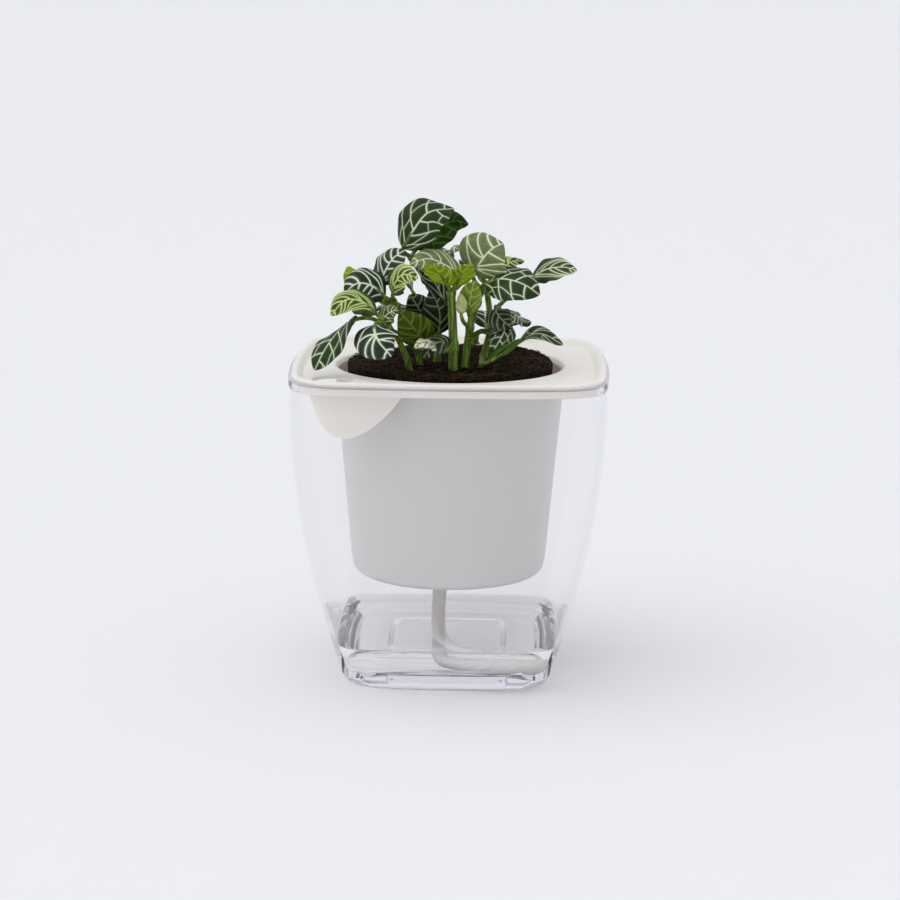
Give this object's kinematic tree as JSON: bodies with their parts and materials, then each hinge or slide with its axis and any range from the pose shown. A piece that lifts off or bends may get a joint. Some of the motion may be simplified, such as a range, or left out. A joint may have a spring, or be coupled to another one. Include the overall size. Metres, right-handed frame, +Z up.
{
  "type": "potted nerve plant",
  "caption": "Small leafy plant with white-veined leaves in a round white inner pot, hung in a clear square self-watering reservoir with a wick.",
  "frame": {"origin": "middle of the base, on the surface that the planter stands on", "axes": "+Z up, +X to the right seen from the front, -Y towards the front, where the filling chute is at the left corner"},
  "size_m": [0.111, 0.111, 0.1689],
  "materials": {
    "clear_plastic": "clear polished moulded plastic",
    "water": "clear water",
    "white_plastic": "white moulded polypropylene, satin",
    "wick": "soft spun cord",
    "soil": "moist brown coir and peat",
    "leaf": "dark green leaf with a net of cream veins"
  },
  "bodies": {
    "root": {"reservoir": "clear_plastic", "water": "water", "insert": "white_plastic", "wick": "wick", "soil": "soil", "stem_1": "leaf", "stem_2": "leaf", "stem_3": "leaf", "stem_4": "leaf", "stem_5": "leaf", "stem_6": "leaf", "stem_7": "leaf", "stem_8": "leaf"}
  },
  "joints": []
}
